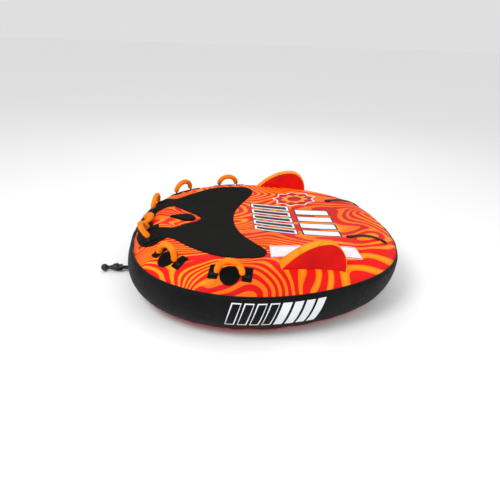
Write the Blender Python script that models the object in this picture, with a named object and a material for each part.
"""Round deck tube for towing behind a boat.

An inflated bladder sits inside a sewn cover: a top panel, a side band and a
bottom panel joined by piped seams.  On the deck are a foam pad, a valve under
a flap, seven foam-sleeved grab handles sewn down through patches, two padded
fins and two rear straps.  At the nose a webbing harness ends in a moulded
quick connector, and a zip in the side band closes the cover at the rear.

Frame: metres, +Z up, origin at the centre of the flat base, the towing end
at -X, the rear at +X.
"""

import math

import bmesh
import bpy
from mathutils import Matrix, Vector

# Plan outline of the inflated tube
PLAN_RADIUS = 0.89
PLAN_SQUARE = -0.045
PLAN_FULL_FRONT = 0.024
PLAN_RIPPLE = -0.014

# Section of the inflated tube
DECK_HEIGHT = 0.41
DECK_DISH = 0.035
CROWN_INSET = 0.25
CROWN_SLOPE = math.radians(50)
TOP_SEAM_INSET = 0.012
WIDEST_HEIGHT = 0.27
BOTTOM_SEAM_INSET = 0.1202
BOTTOM_SEAM_HEIGHT = 0.0279
LOWER_TURN = math.radians(66)
NOSE_BULGE = 0.05
NOSE_BULGE_HEIGHT = 0.12

# Thicknesses and gaps
GAP = 0.0003
COVER_THICK = 0.0025
BLADDER_GAP = 0.002
BLADDER_WALL = 0.008
PAD_THICK = 0.0055
PATCH_THICK = 0.004
LABEL_THICK = 0.001
PIPING_RADIUS = 0.0035
SEAM_HALF_WIDTH = 0.003

# Mesh fineness
PLAN_SEGMENTS = 48
CROWN_STEPS = 5
SIDE_STEPS = 5

# Deck pad outline, half of it, from the rear cut-out forward to the nose
PAD_HALF = [
    (-0.218, 0.0), (-0.205, 0.14), (-0.168, 0.265), (-0.112, 0.385), (-0.055, 0.50),
    (-0.048, 0.570), (-0.085, 0.628), (-0.180, 0.642), (-0.300, 0.625), (-0.410, 0.565),
    (-0.515, 0.470), (-0.585, 0.388), (-0.634, 0.350), (-0.662, 0.366), (-0.715, 0.404),
    (-0.768, 0.386), (-0.812, 0.320), (-0.846, 0.210), (-0.856, 0.100), (-0.858, 0.0),
]
TONGUE_HALF = [
    (-0.441, 0.0), (-0.470, 0.058), (-0.512, 0.092), (-0.556, 0.130), (-0.598, 0.176),
    (-0.636, 0.196), (-0.690, 0.180), (-0.735, 0.146), (-0.764, 0.080), (-0.772, 0.0),
]

# Valve
VALVE_X = -0.537
VALVE_HOLE = 0.042
NECK_RADIUS = 0.024
FLAP_RADIUS = 0.055
FLAP_TIP_X = -0.645
FLAP_TIP_RADIUS = 0.012
FLAP_THICK = 0.0095

# Grab handles: name, plan angle, inset from the outline, lean outward, on the pad
HANDLE_HALF_SPAN = 0.070
HANDLE_RISE = 0.066
SLEEVE_RADIUS = 0.018
SLEEVE_END_RADIUS = 0.013
SLEEVE_BORE = 0.0110
SLEEVE_START = 0.009
WEBBING_HALF_WIDTH = 0.0088
WEBBING_HALF_THICK = 0.0015
HINGE_LIFT = 0.0165
HANDLES = [
    ("near_front", 197.5, 0.118, 42.0, True),
    ("near_middle", 222.7, 0.114, -12.0, False),
    ("near_rear", 250.7, 0.108, -14.0, False),
    ("far_front", 160.5, 0.112, -10.0, True),
    ("far_middle", 134.0, 0.122, -12.0, False),
    ("far_rear", 106.5, 0.112, -18.0, False),
    ("bow", 180.0, 0.075, -56.0, True),
]
PATCH_START = 0.066
PATCH_START_ON_PAD = 0.060
PATCH_LENGTH = 0.056
BOW_PATCH_LENGTH = 0.042
PATCH_WIDTH = 0.088
PATCH_INWARD = 0.016
KNUCKLE_RADIUS = 0.058
KNUCKLE_INWARD = 0.004
KNUCKLE_THICK = 0.006

# Fins
FIN_LENGTH = 0.376
FIN_HEIGHT = 0.128
FIN_PEAK = 0.70
FIN_BASE_THICK = 0.090
FIN_TOP_THICK = 0.064
FIN_MIDDLE = (0.200, 0.690)
FIN_TOE = math.radians(6.0)
FIN_SKIN = 0.003
FIN_STEPS = 18
FIN_DEPTH = 0.10

# Rear straps
REAR_STRAP_Y = 0.335
REAR_STRAP_X = (0.500, 0.742)
REAR_STRAP_HALF_WIDTH = 0.014
REAR_STRAP_THICK = 0.0025
REAR_STRAP_LIFT = 0.003
REAR_TAB_LENGTH = 0.042
REAR_TAB_HALF_WIDTH = 0.018

# Towing gear
TOW_X = -0.953
TOW_Z = 0.0275
TOW_STRAP_HALF_WIDTH = 0.024
TOW_STRAP_THICK = 0.003
TOW_TAIL_THICK = 0.006
KNOB_RADIUS = 0.0255
CONNECTOR_X = -1.012
CONNECTOR_LENGTH = 0.132
CONNECTOR_SWING = math.radians(24)

# Rear zip in the side band
ZIP_HALF_ANGLE = math.radians(16)
ZIP_STEPS = 10
ZIP_TURN = math.radians(34.5)
ZIP_TAPE_HALF_TURN = math.radians(4.0)
ZIP_COIL_HALF_TURN = math.radians(0.7)
ZIP_SLIDER_ANGLE = math.radians(14.0)
ZIP_SLIDER_SIZE = (0.020, 0.012, 0.006)
ZIP_PULL_SIZE = (0.0015, 0.009, 0.034)

MATERIALS = {
    "cover_print": ((0.90, 0.16, 0.02), 0.55, 0.0),
    "cover_black": ((0.012, 0.013, 0.012), 0.60, 0.0),
    "cover_red": ((0.55, 0.02, 0.02), 0.60, 0.0),
    "bladder_vinyl": ((0.02, 0.02, 0.022), 0.45, 0.0),
    "deck_foam": ((0.012, 0.013, 0.012), 0.85, 0.0),
    "neoprene": ((0.008, 0.008, 0.009), 0.80, 0.0),
    "handle_foam": ((0.95, 0.32, 0.02), 0.65, 0.0),
    "fin_fabric": ((0.80, 0.03, 0.01), 0.55, 0.0),
    "fin_foam": ((0.85, 0.85, 0.80), 0.90, 0.0),
    "webbing": ((0.010, 0.010, 0.011), 0.70, 0.0),
    "moulded_plastic": ((0.015, 0.015, 0.016), 0.45, 0.0),
    "label": ((0.85, 0.85, 0.85), 0.50, 0.0),
    "zip_metal": ((0.30, 0.30, 0.31), 0.35, 1.0),
}


# ---------------------------------------------------------------- shape of the tube

def plan_radius(angle):
    """Distance from the centre to the outline at a plan angle."""
    square = PLAN_SQUARE * (math.cos(4 * angle) - 1) / 2
    front = PLAN_FULL_FRONT * (math.cos(3 * angle) - math.cos(angle))
    ripple = PLAN_RIPPLE * (math.cos(6 * angle) - 1) / 2
    return PLAN_RADIUS * (1 + square + front + ripple)


CROWN_RADIUS = (CROWN_INSET - TOP_SEAM_INSET) / math.sin(CROWN_SLOPE)
TOP_SEAM_HEIGHT = DECK_HEIGHT - CROWN_RADIUS * (1 - math.cos(CROWN_SLOPE))
LOWER_A = BOTTOM_SEAM_INSET / (1 - math.cos(LOWER_TURN))
LOWER_B = (WIDEST_HEIGHT - BOTTOM_SEAM_HEIGHT) / math.sin(LOWER_TURN)
BOTTOM_SLOPE = math.atan2(LOWER_B * math.cos(LOWER_TURN), LOWER_A * math.sin(LOWER_TURN))
BOTTOM_RADIUS = BOTTOM_SEAM_HEIGHT / (1 - math.cos(BOTTOM_SLOPE))
BASE_INSET = BOTTOM_SEAM_INSET + BOTTOM_RADIUS * math.sin(BOTTOM_SLOPE)


def deck_station(share):
    """A ring on the dished deck; each station is share, inset, height, tilt of the normal."""
    return share, CROWN_INSET, DECK_HEIGHT - DECK_DISH * (1 - share * share), math.pi / 2


def crown_station(slope):
    inset = CROWN_INSET - CROWN_RADIUS * math.sin(slope)
    height = DECK_HEIGHT - CROWN_RADIUS * (1 - math.cos(slope))
    return 1.0, inset, height, math.pi / 2 - slope


def upper_side_station(share):
    """From the widest ring, share 0, up to the top seam, share 1."""
    rise = TOP_SEAM_HEIGHT - WIDEST_HEIGHT
    inset = TOP_SEAM_INSET * share * share
    tilt = math.atan2(2 * TOP_SEAM_INSET * share, rise)
    return 1.0, inset, WIDEST_HEIGHT + rise * share, tilt


def lower_side_station(turn):
    """From the widest ring, turn 0, down to the bottom seam."""
    inset = LOWER_A * (1 - math.cos(turn))
    height = WIDEST_HEIGHT - LOWER_B * math.sin(turn)
    tilt = -math.atan2(math.sin(turn) / LOWER_B, math.cos(turn) / LOWER_A)
    return 1.0, inset, height, tilt


def bottom_station(slope):
    inset = BASE_INSET - BOTTOM_RADIUS * math.sin(slope)
    height = BOTTOM_RADIUS * (1 - math.cos(slope))
    return 1.0, inset, height, slope - math.pi / 2


def base_station(share):
    return share, BASE_INSET, 0.0, -math.pi / 2


def top_stations(trim=0.0):
    deck = [deck_station(share) for share in (0.0, 0.4, 0.75, 1.0)]
    last = CROWN_SLOPE - trim / CROWN_RADIUS
    return deck + [crown_station(last * (i + 1) / CROWN_STEPS) for i in range(CROWN_STEPS)]


def side_stations(trim=0.0):
    rise = TOP_SEAM_HEIGHT - WIDEST_HEIGHT
    upper = [upper_side_station(1 - trim / rise), upper_side_station(0.5)]
    last = LOWER_TURN - trim / LOWER_A
    return upper + [lower_side_station(last * i / SIDE_STEPS) for i in range(SIDE_STEPS + 1)]


def bottom_stations(trim=0.0):
    first = BOTTOM_SLOPE - trim / BOTTOM_RADIUS
    return [bottom_station(first), bottom_station(first / 2), base_station(1.0), base_station(0.0)]


def nose_bulge(angle, height):
    """How far the side swells out around the nose, below the top seam."""
    span = TOP_SEAM_HEIGHT if height > NOSE_BULGE_HEIGHT else -NOSE_BULGE_HEIGHT * 0.4142
    away = (height - NOSE_BULGE_HEIGHT) / (span - NOSE_BULGE_HEIGHT)
    return NOSE_BULGE * max(0.0, -math.cos(angle)) ** 1.5 * max(0.0, 1 - away * away)


def station_point(station, angle, offset):
    """The point of a station at a plan angle, moved out of the surface by offset."""
    share, inset, height, tilt = station
    radius = share * (plan_radius(angle) - inset + nose_bulge(angle, height)) + offset * math.cos(tilt)
    return Vector((radius * math.cos(angle), radius * math.sin(angle), height + offset * math.sin(tilt)))


def crown_point(angle, inset):
    """A point of the top surface at a plan angle and an inset from the outline."""
    if inset < CROWN_INSET:
        return station_point(crown_station(math.asin((CROWN_INSET - inset) / CROWN_RADIUS)), angle, 0.0)
    reach = plan_radius(angle)
    return station_point(deck_station((reach - inset) / (reach - CROWN_INSET)), angle, 0.0)


def top_point(x, y):
    """The point of the top surface above a place in plan."""
    angle = math.atan2(y, x)
    return crown_point(angle, plan_radius(angle) - math.hypot(x, y))


def top_normal(x, y):
    step = 0.004
    along = top_point(x + step, y) - top_point(x - step, y)
    across = top_point(x, y + step) - top_point(x, y - step)
    return along.cross(across).normalized()


# ---------------------------------------------------------------- mesh tools

def material(name):
    found = bpy.data.materials.get(name)
    if found:
        return found
    color, rough, metal = MATERIALS[name]
    made = bpy.data.materials.new(name)
    made.use_nodes = True
    shader = made.node_tree.nodes["Principled BSDF"]
    shader.inputs["Base Color"].default_value = (*color, 1.0)
    shader.inputs["Roughness"].default_value = rough
    shader.inputs["Metallic"].default_value = metal
    made.diffuse_color = (*color, 1.0)
    return made


def face_outward(mesh):
    work = bmesh.new()
    work.from_mesh(mesh)
    bmesh.ops.recalc_face_normals(work, faces=work.faces)
    work.to_mesh(mesh)
    work.free()


def make_object(name, vertices, faces, slot=None, matrix=None):
    mesh = bpy.data.meshes.new(name)
    mesh.from_pydata([tuple(v) for v in vertices], [], faces)
    face_outward(mesh)
    made = bpy.data.objects.new(name, mesh)
    bpy.context.scene.collection.objects.link(made)
    if slot:
        mesh.materials.append(material(slot))
    if matrix is not None:
        made.matrix_world = matrix
    return made


def smooth(made, angle=35.0):
    made.data.shade_smooth()
    made.data.set_sharp_from_angle(angle=math.radians(angle))
    return made


def as_guide(made):
    """A cutter: shown as wire and left out of the part."""
    made.hide_render = True
    made.display_type = "WIRE"
    return made


def cut(target, cutter, operation="DIFFERENCE"):
    modifier = target.modifiers.new(cutter.name, "BOOLEAN")
    modifier.operation = operation
    modifier.solver = "EXACT"
    modifier.object = cutter
    return target


def strip_faces(rings, closed, flip):
    """Triangles between neighbouring rings of vertex numbers, all split the same way."""
    faces = []
    for first, second in zip(rings, rings[1:]):
        count = max(len(first), len(second))
        for i in range(count if closed else count - 1):
            j = (i + 1) % count
            a, b = (first[0], first[0]) if len(first) == 1 else (first[i], first[j])
            d, c = (second[0], second[0]) if len(second) == 1 else (second[i], second[j])
            if a != b:
                faces.append((a, d, b))
            if c != d:
                faces.append((b, d, c))
    return [face[::-1] for face in faces] if flip else faces


def surface(vertices, stations, angles, offset):
    """Adds the vertices of a skin's one side and returns their numbers, ring by ring."""
    rings = []
    for station in stations:
        spots = angles[:1] if station[0] == 0.0 else angles
        rings.append(list(range(len(vertices), len(vertices) + len(spots))))
        vertices += [station_point(station, angle, offset) for angle in spots]
    return rings


def full_turn(segments=PLAN_SEGMENTS):
    return [2 * math.pi * i / segments for i in range(segments)]


def skin(name, stations, outer, inner, slot=None, angles=None):
    """A sheet that follows the stations between two offsets, closed at its edges."""
    closed = angles is None
    angles = full_turn() if closed else angles
    vertices = []
    outside = surface(vertices, stations, angles, outer)
    inside = surface(vertices, stations, angles, inner)
    faces = strip_faces(outside, closed, False) + strip_faces(inside, closed, True)
    if len(outside[0]) > 1:
        faces += strip_faces([inside[0], outside[0]], closed, False)
    if len(outside[-1]) > 1:
        faces += strip_faces([outside[-1], inside[-1]], closed, False)
    if not closed:
        for end, turned in ((0, True), (-1, False)):
            edge = [[out_ring[end], in_ring[end]] for out_ring, in_ring in zip(outside, inside)]
            faces += strip_faces(edge, False, turned)
    return smooth(make_object(name, vertices, faces, slot))


def solid_tube_body(name, offset, coarse=1):
    """The whole inflated tube as one solid, moved out by offset."""
    stations = top_stations() + side_stations()[1:] + bottom_stations()[1:]
    stations = stations[:-1:coarse] + stations[-1:]
    vertices = []
    rings = surface(vertices, stations, full_turn(PLAN_SEGMENTS // coarse), offset)
    return make_object(name, vertices, strip_faces(rings, True, False))


def prism(name, outline, low, high, matrix=None):
    """An upright prism on a plan outline."""
    mesh = bmesh.new()
    base = mesh.faces.new([mesh.verts.new((x, y, low)) for x, y in outline])
    risen = bmesh.ops.extrude_face_region(mesh, geom=[base])["geom"]
    corners = [item for item in risen if isinstance(item, bmesh.types.BMVert)]
    bmesh.ops.translate(mesh, verts=corners, vec=(0, 0, high - low))
    bmesh.ops.recalc_face_normals(mesh, faces=mesh.faces)
    made = make_object(name, [], [])
    mesh.to_mesh(made.data)
    mesh.free()
    if matrix is not None:
        made.matrix_world = matrix
    return made


def smooth_loop(points, steps=3):
    """A closed Catmull-Rom curve through the points."""
    count = len(points)
    curve = []
    for i in range(count):
        p0, p1, p2, p3 = (Vector(points[(i + k - 1) % count]) for k in range(4))
        for step in range(steps):
            t = step / steps
            bend = (2 * p1 + (p2 - p0) * t + (2 * p0 - 5 * p1 + 4 * p2 - p3) * t * t)
            bend += (3 * p1 - p0 - 3 * p2 + p3) * t ** 3
            curve.append(tuple(bend / 2))
    return curve


def mirrored(half):
    """A whole outline from the half that starts and ends on the centreline."""
    return half + [(x, -y) for x, y in half[-2:0:-1]]


def circle(x, y, radius, segments=24):
    turns = [2 * math.pi * i / segments for i in range(segments)]
    return [(x + radius * math.cos(turn), y + radius * math.sin(turn)) for turn in turns]


def deck_layer(name, outline, low, high, slot):
    """A sheet laid on the top surface, cut to a plan outline."""
    made = skin(name, top_stations(), high, low, slot)
    return cut(made, as_guide(prism("cut_" + name, outline, 0.1, 0.6)), "INTERSECT")


def lathe(name, profile, slot, matrix, segments=24):
    """A solid turned about local Z from radius and height pairs, outer side first."""
    turns = [2 * math.pi * i / segments for i in range(segments)]
    vertices = []
    rings = []
    for radius, height in profile:
        spots = turns[:1] if radius == 0.0 else turns
        rings.append(list(range(len(vertices), len(vertices) + len(spots))))
        vertices += [(radius * math.cos(turn), radius * math.sin(turn), height) for turn in spots]
    if profile[0][0] > 0:
        rings.append(rings[0])
    return smooth(make_object(name, vertices, strip_faces(rings, True, False), slot, matrix))


def ribbon(name, sections, slot, matrix=None):
    """A solid through four-cornered sections, closed at both ends."""
    vertices = [corner for section in sections for corner in section]
    rings = [list(range(4 * i, 4 * i + 4)) for i in range(len(sections))]
    faces = strip_faces(rings, True, False)
    first, last = rings[0], rings[-1]
    faces += [(first[0], first[1], first[2], first[3]), (last[3], last[2], last[1], last[0])]
    return smooth(make_object(name, vertices, faces, slot, matrix))


def axes_matrix(x_axis, y_axis, z_axis, origin):
    turned = Matrix((x_axis, y_axis, z_axis)).transposed().to_4x4()
    return Matrix.Translation(origin) @ turned


# ---------------------------------------------------------------- cover and bladder

def build_cover():
    top = skin("cover_top_panel", top_stations(SEAM_HALF_WIDTH), 0.0, -COVER_THICK, "cover_print")
    hole = prism("cut_cover_valve_hole", circle(0, 0, VALVE_HOLE), -0.05, 0.05, valve_frame())
    cut(top, as_guide(hole))
    skin("cover_side_band", side_stations(SEAM_HALF_WIDTH), 0.0, -COVER_THICK, "cover_black")
    skin("cover_bottom_panel", bottom_stations(SEAM_HALF_WIDTH), 0.0, -COVER_THICK, "cover_red")


def build_piping(name, seam, slot, sides=5):
    """A cord that stands in the seam's groove all the way round."""
    share, inset, height, tilt = seam
    out = PIPING_RADIUS - 0.001
    centre_inset = inset - out * math.cos(tilt)
    centre_height = height + out * math.sin(tilt)
    vertices = []
    rings = []
    for side in range(sides):
        turn = 2 * math.pi * side / sides
        spot = (share, centre_inset - PIPING_RADIUS * math.cos(turn),
                centre_height + PIPING_RADIUS * math.sin(turn), 0.0)
        rings += surface(vertices, [spot], full_turn(), 0.0)
    rings.append(rings[0])
    return smooth(make_object(name, vertices, strip_faces(rings, True, True), slot))


def build_bladder():
    """The air bladder: a wall with an open neck for the valve."""
    outer = COVER_THICK + BLADDER_GAP
    made = solid_tube_body("bladder", -outer)
    made.data.materials.append(material("bladder_vinyl"))
    smooth(made)
    hollow = solid_tube_body("cut_bladder_hollow", -outer - BLADDER_WALL, 2)
    cut(made, as_guide(hollow))
    neck = prism("cut_bladder_neck", circle(0, 0, NECK_RADIUS), -0.06, 0.05, valve_frame())
    cut(made, as_guide(neck))


# ---------------------------------------------------------------- valve

def valve_frame():
    """Local Z stands out of the deck at the valve."""
    normal = top_normal(VALVE_X, 0.0)
    across = Vector((0.0, 1.0, 0.0))
    return axes_matrix(across.cross(normal), across, normal, top_point(VALVE_X, 0.0))


def build_valve():
    frame = valve_frame()
    base = [
        (0.036, -0.0035), (0.036, -0.0020), (0.016, -0.0020), (0.016, -0.024),
        (0.0225, -0.024), (0.0225, -0.0035),
    ]
    lathe("valve_base", base[::-1], "moulded_plastic", frame)
    cap = [
        (0.0, 0.0055), (0.027, 0.0055), (0.030, 0.0035), (0.030, -0.0012),
        (0.0152, -0.0012), (0.0152, -0.016), (0.0, -0.016),
    ]
    lathe("valve_cap", cap, "moulded_plastic", frame)


def flap_outline():
    """A round end joined by straight sides to a small round tip."""
    run = VALVE_X - FLAP_TIP_X - FLAP_TIP_RADIUS
    lean = math.asin((FLAP_RADIUS - FLAP_TIP_RADIUS) / run)
    half = math.pi / 2 + lean
    outline = []
    for i in range(17):
        turn = -half + 2 * half * i / 16
        outline.append((VALVE_X + FLAP_RADIUS * math.cos(turn), FLAP_RADIUS * math.sin(turn)))
    for i in range(7):
        turn = half + 2 * (math.pi - half) * i / 6
        tip_x = FLAP_TIP_X + FLAP_TIP_RADIUS
        outline.append((tip_x + FLAP_TIP_RADIUS * math.cos(turn), FLAP_TIP_RADIUS * math.sin(turn)))
    return outline


def build_valve_flap():
    """The flap's origin is on its hinge line at the tip."""
    flap = deck_layer("valve_flap", flap_outline(), GAP * 2, FLAP_THICK, "neoprene")
    pocket = prism("cut_flap_pocket", circle(0, 0, 0.034), -0.02, 0.0068, valve_frame())
    cut(flap, as_guide(pocket))
    hinge = top_point(FLAP_TIP_X, 0.0) + Vector((0, 0, GAP * 2))
    flap.data.transform(Matrix.Translation(-hinge))
    flap.location = hinge


# ---------------------------------------------------------------- deck pad, labels

def build_deck_pad():
    pad = deck_layer("deck_pad", smooth_loop(mirrored(PAD_HALF)), GAP, PAD_THICK, "deck_foam")
    tongue = prism("cut_pad_tongue", smooth_loop(mirrored(TONGUE_HALF)), 0.1, 0.6)
    cut(pad, as_guide(tongue))


def build_labels():
    front = [(-0.018, -0.436), (0.172, -0.446), (0.145, -0.625), (-0.030, -0.630)]
    rear = [(0.405, -0.480), (0.498, -0.494), (0.524, -0.600), (0.412, -0.618)]
    deck_layer("care_label_front", front, GAP, LABEL_THICK, "label")
    deck_layer("care_label_rear", rear, GAP, LABEL_THICK, "label")


# ---------------------------------------------------------------- grab handles

def handle_frame(angle, inset, lean, on_pad):
    """Local X joins the feet, local Z runs up the loop; the origin is on the fold line."""
    middle = math.radians(angle)
    half_turn = HANDLE_HALF_SPAN / (plan_radius(middle) - inset)
    first = crown_point(middle - half_turn, inset)
    second = crown_point(middle + half_turn, inset)
    along = (second - first).normalized()
    up = Vector((0, 0, 1))
    inward = up.cross(along)
    slope = math.asin((CROWN_INSET - inset) / CROWN_RADIUS)
    normal = up * math.cos(slope) - inward * math.sin(slope)
    lift = PATCH_THICK + HINGE_LIFT + (PAD_THICK if on_pad else 0.0)
    origin = (first + second) / 2 + normal * lift
    tilt = math.radians(lean)
    out = up * math.cos(tilt) - inward * math.sin(tilt)
    return axes_matrix(along, out.cross(along), out, origin)


def arch_station(turn):
    """Centre and outward normal of the loop at a turn from one foot to the other."""
    centre = Vector((HANDLE_HALF_SPAN * math.cos(turn), 0, HANDLE_RISE * math.sin(turn)))
    normal = Vector((HANDLE_RISE * math.cos(turn), 0, HANDLE_HALF_SPAN * math.sin(turn)))
    return centre, normal.normalized()


def build_sleeve(name, frame, steps=8, sides=8):
    """The foam sleeve: a bent tube, open at both ends."""
    start = math.asin(SLEEVE_START / HANDLE_RISE)
    vertices = []
    rings = []
    for radius in (SLEEVE_RADIUS, SLEEVE_BORE):
        for i in range(steps + 1):
            centre, normal = arch_station(start + (math.pi - 2 * start) * i / steps)
            reach = SLEEVE_END_RADIUS if radius > SLEEVE_BORE and i in (0, steps) else radius
            rings.append(list(range(len(vertices), len(vertices) + sides)))
            for side in range(sides):
                turn = 2 * math.pi * (side + 0.5) / sides
                across = Vector((0, reach * math.sin(turn), 0))
                vertices.append(centre + normal * (reach * math.cos(turn)) + across)
    outer, inner = rings[:steps + 1], rings[steps + 1:]
    faces = strip_faces(outer + inner[::-1] + outer[:1], True, False)
    return smooth(make_object(name, vertices, faces, "handle_foam", frame))


def build_webbing(name, frame, steps=12):
    """The strap inside the sleeve, with a half-round end on the fold line at each foot."""
    sections = []
    ends = [(-0.95, 0.31), (-0.8, 0.6), (-0.45, 0.89), (0.0, 1.0)]

    def section(centre, normal, half_width):
        side = Vector((0, half_width, 0))
        thick = normal * WEBBING_HALF_THICK
        return [centre - thick - side, centre + thick - side, centre + thick + side, centre - thick + side]

    right = [(Vector((HANDLE_HALF_SPAN, 0, WEBBING_HALF_WIDTH * depth)), Vector((1, 0, 0)), share)
             for depth, share in ends]
    arch = [(*arch_station(math.pi * i / steps), 1.0) for i in range(1, steps)]
    left = [(Vector((-HANDLE_HALF_SPAN, 0, WEBBING_HALF_WIDTH * depth)), Vector((-1, 0, 0)), share)
            for depth, share in ends[::-1]]
    for centre, normal, share in right + arch + left:
        sections.append(section(centre, normal, WEBBING_HALF_WIDTH * share))
    return ribbon(name, sections, "webbing", frame)


def patch_outline(angle, inset, side, start, length):
    """A rectangle that starts near a foot and runs away from the loop."""
    middle = math.radians(angle)
    centre = crown_point(middle, inset + PATCH_INWARD)
    ahead = crown_point(middle + side * 0.05, inset + PATCH_INWARD)
    along = (ahead - centre).normalized()
    out = Vector((along.y, -along.x, 0)) * side
    corners = []
    for run, reach in ((0, -1), (1, -1), (1, 1), (0, 1)):
        spot = centre + along * (start + run * length) + out * (reach * PATCH_WIDTH / 2)
        corners.append((spot.x, spot.y))
    return corners


def build_handles():
    for name, angle, inset, lean, on_pad in HANDLES:
        frame = handle_frame(angle, inset, lean, on_pad)
        build_sleeve("handle_%s_sleeve" % name, frame)
        build_webbing("handle_%s_webbing" % name, frame)
        low = PAD_THICK + GAP if on_pad else GAP
        length = BOW_PATCH_LENGTH if name == "bow" else PATCH_LENGTH
        start = PATCH_START_ON_PAD if on_pad else PATCH_START
        for side, end in ((-1, "a"), (1, "b")):
            outline = patch_outline(angle, inset, side, start, length)
            deck_layer("handle_%s_patch_%s" % (name, end), outline, low, low + PATCH_THICK, "neoprene")
        if not on_pad:
            spot = crown_point(math.radians(angle), inset + KNUCKLE_INWARD)
            outline = circle(spot.x, spot.y, KNUCKLE_RADIUS)
            deck_layer("knuckle_pad_%s" % name, outline, GAP, KNUCKLE_THICK, "neoprene")


# ---------------------------------------------------------------- fins

def fin_profile(share):
    """Height of the fin along its length, 0 at the front end and 1 at the rear end."""
    if share < FIN_PEAK:
        return FIN_HEIGHT * (1 - ((FIN_PEAK - share) / FIN_PEAK) ** 2)
    return FIN_HEIGHT * math.sqrt(max(0.0, 1 - ((share - FIN_PEAK) / (1 - FIN_PEAK)) ** 2))


def fin_solid(name, frame, shrink, slot=None):
    """A tapered slab with the fin's profile, deep enough to reach into the tube."""
    sections = []
    for i in range(FIN_STEPS + 1):
        share = i / FIN_STEPS
        x = (share - 0.5) * (FIN_LENGTH - 2 * shrink)
        height = max(fin_profile(share) - shrink, 0.0) + 0.002
        taper = FIN_BASE_THICK + (FIN_TOP_THICK - FIN_BASE_THICK) * height / FIN_HEIGHT
        low = FIN_BASE_THICK / 2 - shrink
        high = taper / 2 - shrink
        sections.append([(x, -low, -FIN_DEPTH), (x, low, -FIN_DEPTH), (x, high, height), (x, -high, height)])
    return ribbon(name, sections, slot, frame)


def build_fins():
    for name, side in (("near", -1), ("far", 1)):
        x, y = FIN_MIDDLE
        base = top_point(x, side * y)
        frame = Matrix.Translation(base) @ Matrix.Rotation(-side * FIN_TOE, 4, "Z")
        cover = fin_solid("fin_%s_cover" % name, frame, 0.0, "fin_fabric")
        cut(cover, as_guide(fin_solid("cut_fin_%s_hollow" % name, frame, FIN_SKIN)))
        cut(cover, as_guide(solid_tube_body("cut_fin_%s_cover_base" % name, GAP * 2)))
        core = fin_solid("fin_%s_core" % name, frame, FIN_SKIN + 0.001, "fin_foam")
        cut(core, as_guide(solid_tube_body("cut_fin_%s_core_base" % name, 0.001)))


# ---------------------------------------------------------------- rear straps

def build_rear_straps(steps=12):
    for name, side in (("near", -1), ("far", 1)):
        y = side * REAR_STRAP_Y
        start, end = REAR_STRAP_X
        sections = []
        tab_top = GAP * 3 + REAR_STRAP_THICK
        for i in range(steps + 1):
            share = i / steps
            x = start + (end - start) * share
            lift = tab_top + REAR_STRAP_LIFT * math.sin(math.pi * share) ** 0.7
            section = []
            for across, high in ((-1, 0), (1, 0), (1, 1), (-1, 1)):
                spot_y = y + across * REAR_STRAP_HALF_WIDTH
                rise = top_normal(x, spot_y) * (lift + high * REAR_STRAP_THICK)
                section.append(top_point(x, spot_y) + rise)
            sections.append(section)
        ribbon("rear_strap_%s" % name, sections, "webbing")
        for tab, x in (("front", start), ("rear", end)):
            shift = -0.3 if tab == "front" else -0.7
            low_x = x + shift * REAR_TAB_LENGTH
            outline = [(low_x, y - REAR_TAB_HALF_WIDTH), (low_x + REAR_TAB_LENGTH, y - REAR_TAB_HALF_WIDTH),
                       (low_x + REAR_TAB_LENGTH, y + REAR_TAB_HALF_WIDTH), (low_x, y + REAR_TAB_HALF_WIDTH)]
            deck_layer("rear_strap_%s_tab_%s" % (name, tab), outline, GAP, REAR_STRAP_THICK, "neoprene")


# ---------------------------------------------------------------- towing gear

def strap_sections(path, half_width, thick):
    """Sections of a flat strap whose path lies in the plane Y = 0."""
    sections = []
    for i, point in enumerate(path):
        before = path[max(i - 1, 0)]
        after = path[min(i + 1, len(path) - 1)]
        run = Vector((after[0] - before[0], 0, after[1] - before[1])).normalized()
        normal = Vector((-run.z, 0, run.x)) * (thick / 2)
        centre = Vector((point[0], 0, point[1]))
        side = Vector((0, half_width, 0))
        sections.append([centre - normal - side, centre + normal - side,
                         centre + normal + side, centre - normal + side])
    return sections


def build_harness():
    """Webbing that comes over the nose, down to the tow point and back under the tube."""
    clear = TOW_STRAP_THICK / 2 + 0.0005
    lifts = ((crown_station(CROWN_SLOPE * 0.90), clear), (crown_station(CROWN_SLOPE * 0.97), clear + 0.005),
             (crown_station(CROWN_SLOPE), PIPING_RADIUS * 2 + clear), (upper_side_station(0.4), clear + 0.002),
             (lower_side_station(0.0), clear), (lower_side_station(0.2), clear))
    path = []
    for station, lift in lifts:
        spot = station_point(station, math.pi, lift)
        path.append((spot.x, spot.z))
    inner = TOW_X + TOW_TAIL_THICK / 2 + TOW_STRAP_THICK / 2 + 0.0005
    path += [(-0.936, 0.160), (-0.943, 0.110), (inner, TOW_Z + 0.030), (inner, TOW_Z + 0.004)]
    path += [(inner + 0.001, TOW_Z - 0.006), (inner + 0.012, TOW_Z - 0.0115), (-0.890, 0.0185)]
    seam = station_point(lower_side_station(LOWER_TURN - math.radians(5)), math.pi, clear)
    path.append((seam.x, seam.z))
    ribbon("tow_harness", strap_sections(path, TOW_STRAP_HALF_WIDTH, TOW_STRAP_THICK), "webbing")


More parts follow.
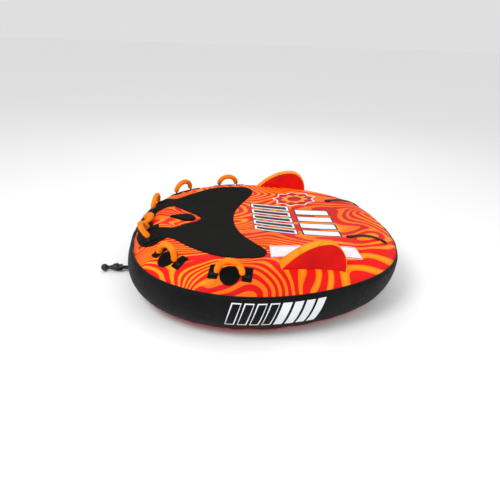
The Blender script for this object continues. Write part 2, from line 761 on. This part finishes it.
def build_tow_tail(steps=4):
    """The doubled strap between harness and connector, rounded about its two swing axes."""
    half = TOW_TAIL_THICK / 2
    length = TOW_X - CONNECTOR_X
    side = Vector((0, TOW_STRAP_HALF_WIDTH - 0.001, 0))
    sections = []
    for end, centre in ((1, 0.0), (-1, -length)):
        turns = [0.1 + (math.pi / 2 - 0.1) * i / steps for i in range(steps + 1)]
        for turn in turns if end > 0 else turns[::-1]:
            spot = Vector((centre + end * half * math.cos(turn), 0, 0))
            rise = Vector((0, 0, half * math.sin(turn)))
            sections.append([spot - rise - side, spot + rise - side, spot + rise + side, spot - rise + side])
    ribbon("tow_tail", sections, "webbing", Matrix.Translation((TOW_X, 0, TOW_Z)))


def build_connector():
    """A turned body with a ridge, a neck for the rope's loop and a knob, and a slotted collar."""
    pivot = Matrix.Translation((CONNECTOR_X, 0, TOW_Z))
    standing = pivot @ Matrix.Rotation(math.pi / 2, 4, "X")
    knob_centre = CONNECTOR_LENGTH - KNOB_RADIUS
    profile = [(0.0, 0.0045), (0.017, 0.0045), (0.0245, 0.016), (0.0225, 0.040), (0.0150, 0.062), (0.0130, 0.074)]
    neck_turn = math.asin(0.0130 / KNOB_RADIUS)
    for i in range(7):
        turn = math.pi - neck_turn - (math.pi - neck_turn) * i / 6
        profile.append((KNOB_RADIUS * math.sin(turn) if i < 6 else 0.0, knob_centre + KNOB_RADIUS * math.cos(turn)))
    body = lathe("tow_connector", profile[::-1], "moulded_plastic", pivot, 16)
    body.data.transform(Matrix.Rotation(-math.pi / 2, 4, "Y"))
    collar = [(0.016, -0.028), (0.019, -0.024), (0.019, 0.024), (0.016, 0.028), (-0.014, 0.024), (-0.014, -0.024)]
    cut(body, as_guide(prism("cut_connector_collar", collar, -0.0125, 0.0125, pivot)), "UNION")
    ridge = [(-0.004, 0.012), (-0.052, 0.012), (-0.044, 0.026), (-0.010, 0.034)]
    cut(body, as_guide(prism("cut_connector_ridge", ridge, -0.007, 0.007, standing)), "UNION")
    room = TOW_TAIL_THICK / 2 + GAP * 2
    reach = 0.022
    flare = room + reach * math.tan(CONNECTOR_SWING)
    mouth = [(-room, -room), (0.0, -room), (reach, -flare), (reach, flare), (0.0, room), (-room, room)]
    half_width = TOW_STRAP_HALF_WIDTH - 0.001 + GAP * 2
    cut(body, as_guide(prism("cut_connector_mouth", mouth, -half_width, half_width, standing)))


# ---------------------------------------------------------------- rear zip

def zip_angles(half):
    return [-half + 2 * half * i / ZIP_STEPS for i in range(ZIP_STEPS + 1)]


def zip_point(angle, offset):
    return station_point(lower_side_station(ZIP_TURN), angle, offset)


def zip_track():
    """Centre of the circle through the zip's two ends and its middle, on the plane Y = 0."""
    middle, end = zip_point(0.0, 0.0), zip_point(ZIP_HALF_ANGLE, 0.0)
    drop = middle.x - end.x
    radius = (end.y ** 2 + drop ** 2) / (2 * drop)
    return Vector((middle.x - radius, 0.0, 0.0)), radius


def build_zip():
    def band(name, half_turn, outer, inner, slot):
        turns = (ZIP_TURN - half_turn, ZIP_TURN, ZIP_TURN + half_turn)
        return skin(name, [lower_side_station(turn) for turn in turns], outer, inner, slot,
                    zip_angles(ZIP_HALF_ANGLE))

    tape = band("zip_tape", ZIP_TAPE_HALF_TURN, 0.0016, GAP, "webbing")
    cut(tape, as_guide(band("cut_zip_coil", ZIP_COIL_HALF_TURN, 0.0040, 0.0010, None)), "UNION")
    track, radius = zip_track()
    tilt = lower_side_station(ZIP_TURN)[3]
    spot = zip_point(0.0, 0.0)
    turn = math.asin(zip_point(ZIP_SLIDER_ANGLE, 0.0).y / radius)
    out = Vector((math.cos(turn) * math.cos(tilt), math.sin(turn) * math.cos(tilt), math.sin(tilt)))
    along = Vector((-math.sin(turn), math.cos(turn), 0))
    foot = track + Vector((radius * math.cos(turn), radius * math.sin(turn), spot.z))
    frame = axes_matrix(along, out.cross(along), out, foot + out * 0.0052)
    length, width, height = ZIP_SLIDER_SIZE
    outline = [(-length / 2, -width / 3), (-length / 4, -width / 2), (length / 4, -width / 2),
               (length / 2, -width / 3), (length / 2, width / 3), (length / 4, width / 2),
               (-length / 4, width / 2), (-length / 2, width / 3)]
    slider = prism("zip_slider", outline, 0.0, height)
    slider.data.materials.append(material("zip_metal"))
    axle = Matrix.Translation(track)
    slider.data.transform(axle.inverted() @ frame)
    slider.matrix_world = axle
    thick, wide, long = ZIP_PULL_SIZE
    hang = foot + out * (0.0052 + height + 0.004)
    pull_frame = axes_matrix(Vector((math.cos(turn), math.sin(turn), 0)), along, Vector((0, 0, 1)), hang)
    ring = [(-thick, -wide / 2), (thick, -wide / 2), (thick, wide / 2), (-thick, wide / 2)]
    pull = prism("zip_pull", ring, -long, 0.0015, pull_frame)
    pull.data.materials.append(material("zip_metal"))


# ---------------------------------------------------------------- assembly

def main():
    for old in list(bpy.data.objects):
        bpy.data.objects.remove(old, do_unlink=True)
    build_bladder()
    build_cover()
    build_piping("piping_top", crown_station(CROWN_SLOPE), "cover_black")
    build_piping("piping_bottom", lower_side_station(LOWER_TURN), "cover_red")
    build_valve()
    build_valve_flap()
    build_deck_pad()
    build_labels()
    build_handles()
    build_fins()
    build_rear_straps()
    build_harness()
    build_tow_tail()
    build_connector()
    build_zip()


main()
